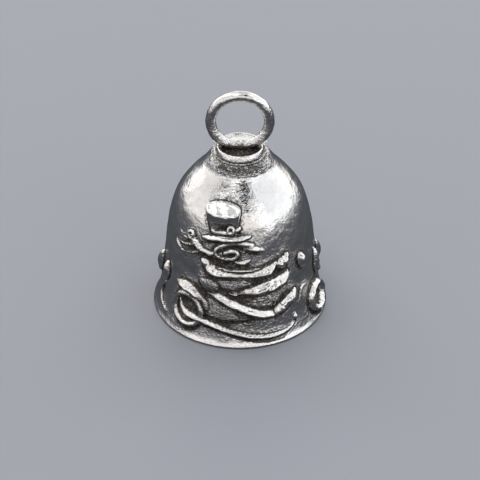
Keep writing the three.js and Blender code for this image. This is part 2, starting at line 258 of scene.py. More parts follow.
def drawn_steel(name):
    """Bright drawn wire with fine lines and a few dull spots."""
    finish = Finish(name)
    lines = finish.noise(finish.millimetres((14.0, 14.0, 1.5)), 1.0, 3.0, 0.6)
    spots = finish.noise(finish.millimetres(), 2.2, 4.0, 0.6)
    colour = finish.mixed(spots.stepped(0.5, 0.8) * 0.5, BRIGHT_STEEL, DULL_STEEL)
    roughness = 0.2 + lines * 0.16 + spots * 0.08
    return finish.shaded(
        Base_Color=colour, Metallic=1.0, Roughness=roughness, Normal=finish.bumped(lines, 0.000006)
    )


def pale_floor(name):
    finish = Finish(name)
    drift = finish.noise(finish.millimetres(), 0.004, 2.0, 0.5)
    colour = finish.mixed(drift, *FLOOR_GREYS)
    return finish.shaded(Base_Color=colour, Roughness=0.55)


def matt_black(name):
    return Finish(name).shaded(Base_Color=MATT_BLACK, Roughness=0.9)


# ------------------------------------------------------------------------------ mesh helpers


def smooth_line(points, count):
    """count points along a smooth curve through the given ones, spaced evenly by length."""
    fixed = np.array(points, float)
    ends = np.vstack([2 * fixed[0] - fixed[1], fixed, 2 * fixed[-1] - fixed[-2]])
    t = np.linspace(0, 1, 16, endpoint=False)[:, None]
    runs = [
        0.5 * (2 * b + (c - a) * t + (2 * a - 5 * b + 4 * c - d) * t**2 + (3 * b - a - 3 * c + d) * t**3)
        for a, b, c, d in zip(ends, ends[1:], ends[2:], ends[3:])
    ]
    dense = np.vstack([*runs, fixed[-1:]])
    lengths = np.concatenate([[0], np.cumsum(np.linalg.norm(np.diff(dense, axis=0), axis=1))])
    at = np.linspace(0, lengths[-1], count)
    return np.stack([np.interp(at, lengths, column) for column in dense.T], axis=1)


def turned(points, arcs=((360, 96),), start=0):
    """[radius, height] points spun round +Z through arcs of (degrees, steps), from the angle start."""
    shape = bmesh.new()
    corners = [shape.verts.new((radius * MM, 0, height * MM)) for radius, height in points]
    edges = [shape.edges.new(pair) for pair in zip(corners, corners[1:])]
    first_turn = Matrix.Rotation(math.radians(start), 3, "Z")
    bmesh.ops.rotate(shape, cent=(0, 0, 0), matrix=first_turn, verts=corners)
    last = corners + edges
    for degrees, steps in arcs:
        spun = bmesh.ops.spin(
            shape,
            geom=last,
            cent=(0, 0, 0),
            axis=(0, 0, 1),
            angle=math.radians(degrees),
            steps=steps,
            use_merge=degrees == 360,
        )
        last = spun["geom_last"]
    return shape


def roughened(shape, amount, grain, seed=0):
    """Moves each corner in or out by up to an amount, in lumps of a size, both in millimetres."""
    shape.normal_update()
    elsewhere = Vector((seed, 0, 0))
    moves = [
        vertex.normal * noise.fractal(vertex.co / MM / grain + elsewhere, 0.8, 2.0, 3) * amount * MM
        for vertex in shape.verts
    ]
    for vertex, move in zip(shape.verts, moves):
        vertex.co += move
    return shape


def finished(shape, name, sharpest=40):
    """The bmesh as an object with smooth faces. Edges sharper than that many degrees stay sharp."""
    bmesh.ops.remove_doubles(shape, verts=shape.verts, dist=MERGE_DISTANCE)
    bmesh.ops.recalc_face_normals(shape, faces=shape.faces)
    for face in shape.faces:
        face.smooth = True
    for edge in shape.edges:
        edge.smooth = edge.is_manifold and edge.calc_face_angle() < math.radians(sharpest)
    mesh = bpy.data.meshes.new(name)
    shape.to_mesh(mesh)
    shape.free()
    piece = bpy.data.objects.new(name, mesh)
    bpy.context.scene.collection.objects.link(piece)
    return piece


def dressed(piece, material, body, slot, *nodes):
    """Gives a finished piece its material and its body, and hides the frame's nodes it stands for."""
    piece.data.materials.append(material)
    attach(piece, body)
    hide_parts(*nodes)


def with_shades(piece, **shades):
    """Sets attributes of the piece's corners from one value for each corner."""
    for name, values in shades.items():
        piece.data.attributes.new(name, "FLOAT", "POINT").data.foreach_set("value", values)


def shades_by_height(piece, stops):
    """Values for a piece's corners from [height, value] stops."""
    heights = [vertex.co.z / MM for vertex in piece.data.vertices]
    return np.interp(heights, *np.array(stops, float).T)


# ------------------------------------------------------------------------------ the cup's outline

RIM_RADIUS = cad_high.x / MM
RIM_WALL = 1.4
CROWN_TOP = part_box("bell_cup")[1].z / MM

# From the rim up to the crown, [radius, height].
OUTER_OUTLINE = [
    [RIM_RADIUS, 0.3],
    [12.25, 1.1],
    [11.95, 2],
    [11.55, 4],
    [11.15, 7],
    [10.5, 13],
    [10.0, 16],
    [9.05, 19],
    [7.4, 21.5],
    [5.6, 23.6],
    [4.1, CROWN_TOP],
]
INNER_OUTLINE = [
    [RIM_RADIUS - RIM_WALL, 0],
    [10.6, 2.2],
    [9.8, 7],
    [9.1, 13],
    [8.5, 16],
    [7.4, 19],
    [5.6, 21.4],
    [3.2, 23.3],
    [0, 24.0],
]
OUTLINE_TABLE = smooth_line(OUTER_OUTLINE, 400)


def cup_radius(height):
    return np.interp(height, OUTLINE_TABLE[:, 1], OUTLINE_TABLE[:, 0])


def cup_places(angles, heights):
    """Places on the cup and the directions round it, up it and out of it there."""
    turn = np.radians(angles)
    radius = cup_radius(heights)
    slope = (cup_radius(heights + 0.25) - cup_radius(heights - 0.25)) / 0.5
    sine, cosine, level = np.sin(turn), np.cos(turn), np.zeros_like(turn * radius)
    at = np.stack([radius * sine, -radius * cosine, heights + level], axis=-1)
    length = np.sqrt(1 + slope**2)
    around = np.stack([cosine + level, sine + level, level], axis=-1)
    up = np.stack([slope * sine / length, -slope * cosine / length, 1 / length + level], axis=-1)
    return at, around, up, np.cross(around, up)


# ------------------------------------------------------------------------------ raised work

# Cross-sections of a bar as [place, height]: from its upper edge at -1 to its lower edge at 1.
ROUND = smooth_line([[-1, 0], [-0.87, 0.5], [-0.5, 0.87], [0, 1], [0.5, 0.87], [0.87, 0.5], [1, 0]], 80)
SHELF = smooth_line(
    [[-1, 0], [-0.5, 0.05], [-0.1, 0.17], [0.28, 0.45], [0.56, 0.83], [0.73, 1], [0.9, 0.84], [1, 0]], 80
)
FOLD = smooth_line([[-1, 0], [-0.8, 0.22], [-0.3, 0.55], [0.15, 0.86], [0.5, 1], [0.85, 0.8], [1, 0]], 80)


def blended(first, second, width):
    """The larger of two heights, with a soft join of that width."""
    overlap = np.maximum(width - np.abs(first - second), 0) / width
    return np.maximum(first, second) + overlap**2 * width / 4


def bell_weights(radius):
    """The places and weights of a blur over that many cells."""
    steps = np.arange(-math.ceil(3 * radius), math.ceil(3 * radius) + 1)
    weights = np.exp(-0.5 * (steps / radius) ** 2)
    return steps[-1], weights / weights.sum()


def softened(field, around, up):
    """The field blurred over that many cells round the cup, where it joins up with itself, and up it."""
    reach, weights = bell_weights(around)
    padded = np.concatenate([field[:, -reach:], field, field[:, :reach]], axis=1)
    across = sum(w * padded[:, i : i + field.shape[1]] for i, w in enumerate(weights))
    reach, weights = bell_weights(up)
    padded = np.pad(across, ((reach, reach), (0, 0)), mode="edge")
    return sum(w * padded[i : i + field.shape[0]] for i, w in enumerate(weights))


class RaisedWork:
    """How far the casting stands out of the plain cup, over a grid of places on it."""

    ANGLE_STEP = 0.25
    HEIGHT_STEP = 0.05

    def __init__(self):
        self.angles = np.arange(-180, 180, self.ANGLE_STEP)
        self.heights = np.arange(0, CROWN_TOP, self.HEIGHT_STEP)
        self.height = np.zeros((len(self.heights), len(self.angles)))
        self.places = cup_places(self.angles[None, :], self.heights[:, None])[0]

    def window(self, angles, heights, margin):
        """The rows and columns of the grid within a margin of the given places."""
        low, high = min(heights) - margin, max(heights) + margin
        rows = np.nonzero((self.heights >= low) & (self.heights <= high))[0]
        spare = math.degrees(margin / cup_radius(min(high, CROWN_TOP)))
        middle, half = (min(angles) + max(angles)) / 2, (max(angles) - min(angles)) / 2 + spare
        away = np.abs((self.angles - middle + 180) % 360 - 180)
        return np.ix_(rows, np.nonzero(away <= half)[0])

    def followed(self, places, widths):
        """For cells near a line through places: which they are, how far along and across it they lie, how
        far past its ends, and how wide it is there. Across and past are in half-widths."""
        line = smooth_line(places, 6 * len(places))
        at, _, _, out = cup_places(line[:, 0], line[:, 1])
        cells = self.window(line[:, 0], line[:, 1], max(widths) * 1.3 + 0.5)
        here = self.places[cells]
        nearest = np.full(here.shape[:2], np.inf)
        along, across, past = (np.zeros(here.shape[:2]) for _ in range(3))
        for i in range(len(at) - 1):
            run = at[i + 1] - at[i]
            length = np.linalg.norm(run)
            share = ((here - at[i]) @ run) / length**2
            kept = np.clip(share, 0, 1)
            offset = here - at[i] - kept[..., None] * run
            distance = np.linalg.norm(offset, axis=-1)
            closer = distance < nearest
            nearest = np.where(closer, distance, nearest)
            along = np.where(closer, (i + kept) / (len(at) - 1), along)
            across = np.where(closer, offset @ np.cross(run / length, out[i]), across)
            past = np.where(closer, (share - kept) * length, past)
        width = np.interp(along, np.linspace(0, 1, len(widths)), widths)
        return cells, along, across / width, past / width, width

    @staticmethod
    def oval(right, up, along, across, turn):
        """How far out in a turned oval each cell lies: 0 in its middle and 1 at its edge."""
        cosine, sine = math.cos(math.radians(turn)), math.sin(math.radians(turn))
        return np.hypot((right * cosine + up * sine) / along, (up * cosine - right * sine) / across)

    def beside(self, angle, height, margin):
        """Which cells are near a place, and how far to its right and above it each one lies."""
        at, around, up, _ = cup_places(np.array(float(angle)), np.array(float(height)))
        cells = self.window([angle], [height], margin)
        offset = self.places[cells] - at
        return cells, offset @ around, offset @ up

    def add(self, cells, height, edge, soft=0.12, groove=0.05):
        """Joins a form to the work. height is its own shape, and edge how far outside it a cell lies."""
        under = self.height[cells] - groove * np.exp(-(((edge - 0.1) / 0.09) ** 2))
        self.height[cells] = blended(under, np.where(edge < 0, height, -1.5 * edge), soft)

    def bar(self, places, widths, prouds, section=ROUND, soft=0.12, groove=0.05):
        """A bar through places, with half-widths and heights that are evenly spaced along it."""
        cells, along, across, past, width = self.followed(places, widths)
        proud = np.interp(along, np.linspace(0, 1, len(prouds)), prouds)
        shape = np.interp(across, section[:, 0], section[:, 1]) * np.sqrt(np.maximum(1 - past**2, 0))
        edge = (np.hypot(across, past) - 1) * width
        self.add(cells, shape * proud, edge, soft, groove * (across > 0) + groove * 0.4)

    def line(self, places, widths, depth):
        """A line cut into the work."""
        cells, _, across, past, _ = self.followed(places, widths)
        self.height[cells] -= depth * np.maximum(1 - across**2 - past**2, 0)

    def boss(self, angle, height, along, across, proud, turn=0.0, soft=0.15, groove=0.04, flat=0.5):
        """An oval swelling with half-sizes along and across, turned in degrees."""
        cells, right, up = self.beside(angle, height, max(along, across) * 1.3 + 0.5)
        reach = self.oval(right, up, along, across, turn)
        shape = np.maximum(1 - reach**2, 0) ** flat * proud
        self.add(cells, shape, (reach - 1) * min(along, across), soft, groove)

    def dent(self, angle, height, along, across, depth, turn=0.0):
        """An oval hollow with half-sizes along and across, turned in degrees."""
        cells, right, up = self.beside(angle, height, max(along, across) * 1.2)
        reach = self.oval(right, up, along, across, turn)
        self.height[cells] -= depth * np.maximum(1 - reach**2, 0)

    def hoop(self, angle, height, radius, wire, proud, soft=0.12, groove=0.05):
        """A ring that lies on the cup."""
        cells, right, up = self.beside(angle, height, radius + wire * 2 + 0.3)
        reach = np.abs(np.hypot(right, up) - radius) / wire
        self.add(cells, np.maximum(1 - reach**2, 0) ** 0.5 * proud, (reach - 1) * wire, soft, groove)

    def at(self, field, angles, heights):
        """The field's values at places between the grid's, by straight interpolation."""
        columns = ((angles + 180) % 360) / self.ANGLE_STEP
        rows = np.clip(heights / self.HEIGHT_STEP, 0, len(self.heights) - 1.001)
        row, column = rows.astype(int), columns.astype(int) % len(self.angles)
        right, row_share, column_share = (column + 1) % len(self.angles), rows % 1, columns % 1
        low = field[row, column] * (1 - column_share) + field[row, right] * column_share
        high = field[row + 1, column] * (1 - column_share) + field[row + 1, right] * column_share
        return low * (1 - row_share) + high * row_share


HAT_ANGLE, HAT_FOOT = -13.5, 17.2
HAT_TOP, HAT_TOP_HALF_WIDTH, HAT_TOP_HALF_DEPTH = 4.15, 2.35, 0.98


def raise_hat(work):
    """A plain top hat: crown with a flat oval top, band, round buckle and thin brim."""
    cells, right, up = work.beside(HAT_ANGLE, HAT_FOOT, 6.4)
    right = right + 0.1 * up
    half_width = np.interp(up, [0.9, 3.6], [1.92, HAT_TOP_HALF_WIDTH])
    oval = np.hypot(right / HAT_TOP_HALF_WIDTH, (up - HAT_TOP) / HAT_TOP_HALF_DEPTH)
    bulge = np.sqrt(np.maximum(1 - (right / half_width) ** 2, 0))
    front = (0.5 + 0.07 * (up - 0.9) + 0.21 * (up - 0.9) ** 2) * bulge**0.6
    plate = 1.66 - 0.52 * (up - 3.05)
    dish = 0.17 * np.clip((1 - oval) / 0.22, 0, 1)
    shape = np.where(oval < 1, plate - dish, np.minimum(front, plate))
    top_edge = up - HAT_TOP - HAT_TOP_HALF_DEPTH * np.sqrt(np.maximum(1 - (right / half_width) ** 2, 0))
    edge = np.maximum(np.maximum(np.abs(right) - half_width, 0.7 - up), top_edge)
    work.add(cells, shape, edge, 0.06, 0.08)
    work.dent(-14.5, 20.95, 0.9, 0.3, 0.1, -8)
    work.bar([[-23.5, 18.3], [-12, 18.35], [-1, 18.85]], [0.3, 0.34, 0.3], [0.75, 1.15, 0.75], FOLD, 0.06)
    work.hoop(-7.5, 18.65, 0.4, 0.2, 1.35, 0.06)
    work.bar(
        [
            [-32.5, 16.85],
            [-25.5, 17.15],
            [-18, 17.4],
            [-11, 17.5],
            [-3.5, 17.5],
            [2.5, 17.55],
            [8.5, 17.65],
        ],
        [0.14, 0.28, 0.34, 0.36, 0.34, 0.28, 0.14],
        [0.4, 0.95, 1.2, 1.3, 1.2, 0.95, 0.4],
        FOLD,
        0.08,
        0.16,
    )


def raise_scrolls(work):
    """A volute with a leaf under the hat, and a small fern spray to its left."""
    work.boss(-12, 15.3, 1.35, 0.85, 0.22, soft=0.3)
    work.bar(
        [
            [10, 16.4],
            [2.5, 16.7],
            [-5.5, 16.7],
            [-13, 16.35],
            [-19, 15.65],
            [-20, 14.95],
            [-17, 14.5],
            [-11, 14.3],
            [-4.5, 14.5],
            [-1.5, 15.1],
            [-4.5, 15.6],
            [-9.5, 15.5],
        ],
        [0.3, 0.34, 0.24, 0.24, 0.26, 0.22, 0.24, 0.22, 0.24, 0.26],
        [0.5, 0.65, 0.5, 0.5, 0.55, 0.45, 0.45, 0.5, 0.6, 0.7],
    )
    work.boss(-11.5, 15.25, 0.32, 0.28, 0.7)
    work.bar(
        [[3, 16.0], [8, 16.05], [13.5, 15.8], [19.5, 15.3]],
        [0.12, 0.36, 0.34, 0.08],
        [0.3, 0.75, 0.7, 0.2],
        FOLD,
    )
    work.bar(
        [[-6, 14.15], [-1.5, 13.85], [2.5, 13.85], [7, 14.1]],
        [0.1, 0.2, 0.34, 0.2],
        [0.2, 0.4, 0.6, 0.35],
        FOLD,
    )
    work.hoop(-43, 16.6, 0.46, 0.19, 0.7)
    work.boss(-43, 16.5, 0.14, 0.14, 0.45)
    work.bar(
        [[-43, 16.0], [-38, 15.75], [-34, 15.3], [-29.5, 14.95], [-25, 15.0]],
        [0.2, 0.32, 0.36, 0.28, 0.12],
        [0.5, 0.75, 0.8, 0.6, 0.3],
        FOLD,
    )
    work.bar([[-41, 16.2], [-36.5, 15.95], [-31.5, 15.35]], [0.1, 0.15, 0.06], [0.35, 0.45, 0.2], soft=0.06)
    work.line([[-38, 15.6], [-34, 15.15], [-30, 14.9]], [0.08, 0.1, 0.08], 0.25)
    work.bar([[-29, 14.75], [-24, 14.75], [-19.5, 15.0]], [0.14, 0.3, 0.1], [0.3, 0.6, 0.3], FOLD)
    fronds = [
        [[-40, 16.0], [-46, 15.7], [-53.5, 15.6], [-58, 16.1]],
        [[-36.5, 15.35], [-44, 14.9], [-51, 14.5], [-60, 14.7]],
        [[-33, 14.6], [-39.5, 13.95], [-47.5, 13.45], [-54, 13.6]],
        [[-60, 14.3], [-56.5, 13.9], [-52, 13.5], [-47, 12.85]],
    ]
    for places in fronds:
        work.bar(places, [0.12, 0.19, 0.16, 0.06], [0.4, 0.48, 0.38, 0.12], FOLD, 0.08)


def raise_drapery(work):
    """Ribbons and swags that hang across the front."""
    work.boss(0, 10.6, 5.6, 1.5, 0.3, soft=0.5, groove=0, flat=1)
    work.boss(6, 6.8, 6.6, 2.2, 0.35, 8, 0.5, 0, 1)
    work.bar(
        [
            [-28.5, 13.2],
            [-24, 12.75],
            [-18.5, 12.25],
            [-11, 12.0],
            [0, 11.9],
            [9, 11.95],
            [16.5, 12.1],
            [22.5, 12.4],
            [28, 13.0],
        ],
        [0.4, 0.8, 0.56, 0.3, 0.25, 0.3, 0.46, 0.7, 0.35],
        [0.5, 1.1, 0.95, 0.8, 0.75, 0.8, 0.95, 1.1, 0.5],
        FOLD,
        groove=0.09,
    )
    work.bar(
        [[-18, 12.8], [-8.5, 12.6], [0, 12.55], [9, 12.6], [17, 12.85]],
        [0.07, 0.14, 0.15, 0.14, 0.07],
        [0.25, 0.5, 0.5, 0.5, 0.25],
        FOLD,
        0.06,
    )
    work.boss(-27.5, 13.2, 0.8, 0.55, 0.75, turn=-30)
    work.boss(34.5, 12.85, 1.15, 0.85, 1.0, turn=35)
    work.boss(38, 13.65, 0.5, 0.4, 0.7, turn=60)
    work.line([[31.5, 13.25], [34, 12.65], [37, 12.35]], [0.1, 0.16, 0.1], 0.3)
    work.line([[33, 13.75], [36.5, 13.25]], [0.08, 0.08], 0.2)
    work.bar([[-7.5, 8.95], [-3.5, 8.95], [0.5, 9.1]], [0.14, 0.26, 0.2], [0.4, 0.75, 0.6], FOLD)
    work.bar(
        [[0, 9.15], [4.5, 9.35], [10, 9.6], [16, 9.8], [23, 10.0], [30, 10.3], [38, 10.8]],
        [0.25, 0.62, 0.86, 0.92, 0.9, 0.84, 0.4],
        [0.45, 0.95, 1.2, 1.3, 1.3, 1.2, 0.6],
        FOLD,
        groove=0.12,
    )
    work.line([[19, 9.4], [23, 9.85], [28.5, 9.9]], [0.1, 0.15, 0.09], 0.4)
    work.line([[23.5, 9.2], [27.5, 9.5], [32.5, 9.7]], [0.1, 0.12, 0.08], 0.3)
    work.bar([[2, 7.95], [11, 7.6], [20, 7.6]], [0.05, 0.09, 0.05], [0.15, 0.3, 0.15], soft=0.06)
    work.boss(-23.5, 9.7, 1.6, 1.0, 0.55, -10, 0.2, 0.05, 0.7)
    work.line([[-28.5, 9.5], [-23, 9.1], [-18, 9.15]], [0.1, 0.14, 0.1], 0.25)
    work.bar(
        [[-23.5, 8.6], [-15, 8.7], [-6.5, 8.1], [2.5, 7.3], [11, 6.5], [18, 5.95], [22.5, 5.8]],
        [0.35, 0.85, 1.05, 1.1, 1.12, 1.12, 1.0],
        [0.4, 1.0, 1.25, 1.35, 1.4, 1.4, 1.2],
        SHELF,
        groove=0.12,
    )
    work.bar(
        [[26, 5.2], [30.5, 5.7], [35, 6.2], [39.5, 6.8], [43.5, 7.4]],
        [0.62, 0.8, 0.78, 0.86, 0.4],
        [0.8, 1.1, 1.1, 1.2, 0.6],
        ROUND,
        groove=0.09,
    )
    work.line([[25.2, 6.8], [24.4, 5.6], [25.2, 4.4]], [0.12, 0.16, 0.12], 0.5)
    work.line([[29.5, 6.4], [32, 5.9], [35.5, 6.1]], [0.08, 0.1, 0.08], 0.18)
    work.line([[38.5, 7.8], [38.2, 7.0], [39.5, 6.3]], [0.08, 0.12, 0.08], 0.25)


def raise_base(work):
    """The cord along the foot, the two rings at its sides and the leaves over them."""
    work.dent(-41, 4.5, 2.2, 2.2, 0.16)
    work.hoop(-41, 4.5, 2.42, 0.36, 0.6)
    work.bar(
        [
            [-48.5, 5.6],
            [-46.5, 4.7],
            [-41, 4.0],
            [-28, 3.75],
            [-17, 3.3],
            [-6.5, 2.7],
            [3.5, 2.15],
            [13, 1.75],
            [23.5, 1.55],
            [34.5, 1.7],
            [41.5, 2.3],
        ],
        [0.12, 0.32, 0.34, 0.3, 0.29, 0.28, 0.28, 0.28, 0.27, 0.24, 0.1],
        [0.4, 0.85, 0.9, 0.85, 0.8, 0.75, 0.75, 0.7, 0.65, 0.5, 0.25],
        FOLD,
        groove=0.1,
    )
    work.bar(
        [[-54, 8.0], [-46, 8.3], [-39, 8.2], [-33.5, 7.6], [-28, 7.0], [-23.5, 6.6]],
        [0.16, 0.62, 0.8, 0.7, 0.4, 0.14],
        [0.3, 0.85, 1.0, 0.9, 0.6, 0.25],
        FOLD,
    )
    work.hoop(69.5, 3.6, 2.0, 0.42, 1.0)
    work.dent(69.5, 3.6, 1.7, 1.7, 0.12)
    work.bar(
        [[47, 4.7], [49.5, 6.0], [52.5, 7.1], [60, 7.2]],
        [0.14, 0.2, 0.2, 0.12],
        [0.3, 0.45, 0.4, 0.2],
    )
    work.boss(42.5, 3.1, 0.34, 0.45, 0.5, turn=-20)
    work.boss(53, 11.6, 0.72, 1.3, 1.15, turn=8)
    for angle, height, half_length, tilt in (
        (77, 8.7, 2.0, -4),
        (97, 7.9, 1.9, 4),
        (-69, 8.1, 1.4, 6),
        (-87, 7.3, 2.0, -6),
    ):
        work.boss(angle, height, 0.62, half_length, 0.85, turn=tilt)
    work.bar(
        [[-70, 5.8], [-75.5, 4.2], [-72, 2.6], [-63, 1.6]],
        [0.14, 0.22, 0.22, 0.12],
        [0.3, 0.5, 0.45, 0.2],
    )
    work.boss(-4.5, 5.0, 0.8, 0.5, 0.24, -20, 0.3, 0.02, 1)
    work.bar([[2.5, 4.0], [5.5, 3.8], [10.5, 3.75]], [0.07, 0.11, 0.05], [0.2, 0.35, 0.15], soft=0.06)
    work.boss(-26, 6.2, 0.5, 0.8, 0.3, turn=20)


def raise_back(work):
    """The same cord, swags, knots and leaves, even on both sides, behind."""
    work.bar(
        [
            [85, 6.2],
            [98, 4.4],
            [120, 3.2],
            [150, 2.6],
            [180, 2.5],
            [210, 2.6],
            [240, 3.2],
            [262, 4.6],
            [272, 6.2],
        ],
        [0.15, 0.36, 0.38, 0.38, 0.38, 0.38, 0.38, 0.36, 0.15],
        [0.3, 0.75, 0.8, 0.8, 0.8, 0.8, 0.8, 0.75, 0.3],
        FOLD,
        groove=0.1,
    )
    work.bar(
        [[131, 12.6], [156, 10.2], [180, 9.5], [204, 10.2], [229, 12.6]],
        [0.3, 0.66, 0.74, 0.66, 0.3],
        [0.6, 0.95, 1.05, 0.95, 0.6],
        FOLD,
        groove=0.1,
    )
    work.bar(
        [[124, 9.2], [152, 7.0], [180, 6.3], [208, 7.0], [236, 9.2]],
        [0.2, 0.85, 1.0, 0.85, 0.2],
        [0.5, 1.1, 1.2, 1.1, 0.5],
        SHELF,
        groove=0.12,
    )
    for side in (-1, 1):
        work.boss(180 + 53 * side, 12.8, 1.0, 1.0, 1.0)
        work.line([[180 + 50 * side, 13.2], [180 + 54 * side, 12.2]], [0.1, 0.1], 0.25)
        work.bar(
            [[180 + 30 * side, 15.2], [180 + 15 * side, 14.3], [180 + 2.5 * side, 15.6]],
            [0.14, 0.5, 0.12],
            [0.3, 0.8, 0.3],
        )
    work.hoop(180, 16.5, 0.62, 0.24, 0.75)


def make_raised_work():
    work = RaisedWork()
    raise_drapery(work)
    raise_base(work)
    raise_scrolls(work)
    raise_hat(work)
    raise_back(work)
    return work


# ------------------------------------------------------------------------------ the cup

FRONT_ARC, FRONT_STEPS = 200, 400
BACK_STEPS = 130
RELIEF_TOP = 22.6
RELIEF_ROWS = 148
SHOULDER_ROWS = 14
INNER_ROWS = 15

# Blurs, in cells of the grid.
RELIEF_BLUR = (1.6, 2.2)
# The hollow blur sets how far the painted shadow spreads round each form.
CREVICE_BLUR, HOLLOW_BLUR, NEAR_BLUR = (3, 3), (14, 14), (22, 22)
# Painted shadow falls on a cell with a form this many rows above it.
UNDER_CELLS = 14

# How far the cast skin wanders in and out: heights, and the millimetres at each.
LUMPS = [0.3, 1.5, 13, 18, 24], [0, 0.06, 0.07, 0.02, 0.02]
# How much a raised form's height varies, as a share of it.
UNEVENNESS = 0.14


def cup_outline():
    """Down the inside from its pole, across the foot and up the outside to the crown's middle."""
    inner = smooth_line(INNER_OUTLINE, INNER_ROWS)[::-1]
    foot = [[RIM_RADIUS - RIM_WALL + 0.12, 0.0], [RIM_RADIUS - 0.28, 0.0], [RIM_RADIUS - 0.09, 0.09]]
    outer = smooth_line(OUTER_OUTLINE, 1200)
    split = int(np.searchsorted(outer[:, 1], RELIEF_TOP))
    lower = outer[np.linspace(0, split, RELIEF_ROWS).astype(int)]
    upper = outer[np.linspace(split, len(outer) - 1, SHOULDER_ROWS).astype(int)][1:]
    upper = np.insert(upper, -1, upper[-1] * 0.9 + upper[-2] * 0.1, axis=0)
    crown = [[4.06, CROWN_TOP], [2.6, CROWN_TOP], [0, CROWN_TOP]]
    return [*inner.tolist(), *foot, *lower.tolist(), *upper.tolist(), *crown]


def drafted(height, slope=2.2, reach=12):
    """The heights with every form's lower side sloped, as a casting's has to be to leave its mould."""
    step = slope * RaisedWork.HEIGHT_STEP
    skirts = [np.pad(height[k:], ((0, k), (0, 0))) - step * k for k in range(1, reach + 1)]
    return np.maximum.reduce([height, *skirts])


def cup_shades(work):
    """Grids of how dark and how grainy the finish is: patina in the crevices, painted shadow in the hollows
    and under each form, darker rough ground between the forms, cast grain below the collar with painted
    shade on its front, and a little more darkness and grain by the foot.
    """
    crevice = softened(work.height, *CREVICE_BLUR) - work.height
    # Painted shadow, with some patina: the wider hollows round the forms, and cells with a form standing
    # just above them.
    hollow = softened(work.height, *HOLLOW_BLUR) - work.height
    under = np.clip(np.roll(work.height, -UNDER_CELLS, axis=0) - work.height, 0, 1)
    near_forms = np.clip(softened((work.height > 0.12).astype(float), *NEAR_BLUR) * 1.8, 0, 1)
    near_forms *= np.interp(work.heights, [15.5, 18], [1, 0.4])[:, None]
    ground = near_forms * np.clip((0.62 - work.height) / 0.35, 0, 1)
    heights = work.heights[:, None]
    # Below the collar: cast grain all round, and painted shade on the front only.
    by_collar = np.clip((heights - 24.35) / 0.7, 0, 1) * np.clip((78 - np.abs(work.angles)) / 40, 0, 1)
    by_foot = np.clip((2.6 - heights) / 1.2, 0, 1) * np.clip((heights - 0.9) / 0.8, 0, 1)
    # Patina in the crevices, painted shadow in the hollows and under each form, and darker rough ground
    # between the forms.
    dark = np.clip(crevice * 5 + np.minimum(hollow * 3, 0.4) + under * 0.8 + ground * 0.46, 0, 1)
    dark = np.maximum(dark, by_collar * 0.6) + by_foot * 0.12
    grain = np.clip(by_collar * 1.8 + by_foot * 0.25 + ground * 0.8, 0, 1.8)
    return dark, grain


def make_cup():
    """The cup, spun with finer steps in front, then its outside moved out by the raised work."""
    work = make_raised_work()
    arcs = (FRONT_ARC, FRONT_STEPS), (360 - FRONT_ARC, BACK_STEPS)
    cup = finished(turned(cup_outline(), arcs, -90 - FRONT_ARC / 2), "bell_cup_cast", 80)
    mesh = cup.data
    count = len(mesh.vertices)
    flat = np.zeros(count * 3)
    mesh.vertices.foreach_get("co", flat)
    at = flat.reshape(-1, 3) / MM
    radius = np.hypot(at[:, 0], at[:, 1])
    outside = np.abs(radius - cup_radius(at[:, 2])) < 0.05
    outside &= (at[:, 2] > 0.25) & (at[:, 2] < CROWN_TOP - 0.02)
    angles = np.degrees(np.arctan2(at[outside, 0], -at[outside, 1]))
    heights = at[outside, 2]
    lumps = np.array([noise.fractal(Vector(place) * 0.45, 0.8, 2.0, 3) for place in at[outside]])
    lumps *= np.interp(heights, *LUMPS)
    uneven = np.array([noise.fractal(Vector(place) * 1.1, 0.8, 2.0, 2) for place in at[outside]])
    relief = softened(drafted(work.height), *RELIEF_BLUR)
    proud = work.at(relief, angles, heights) * (1 + UNEVENNESS * np.clip(uneven, -1, 0.8))
    _, _, _, out = cup_places(angles, heights)
    at[outside] += out * (proud + lumps)[:, None]
    mesh.vertices.foreach_set("co", (at * MM).ravel())
    mesh.update()
    on_foot = (at[:, 2] < 0.2) & (radius > RIM_RADIUS - RIM_WALL)
    dark, grain = np.where(on_foot, 0.25, 0.5), np.where(on_foot, 0.15, 0.6)
    for values, field in zip((dark, grain), cup_shades(work)):
        values[outside] = work.at(field, angles, heights)
    with_shades(cup, dark=dark, grain=grain)
    dressed(cup, POLISHED, "bell", "polished_pewter", "bell_cup", *RAISED_NODES)


# ------------------------------------------------------------------------------ collar and hanging ring

DISH_EDGE = 3.02

# The small lugs where the ring meets the collar: [right, height] and half-sizes.
LUG_PLACE = [3.12, 27.5]
LUG_SIZE = (0.75, 0.55, 0.15)


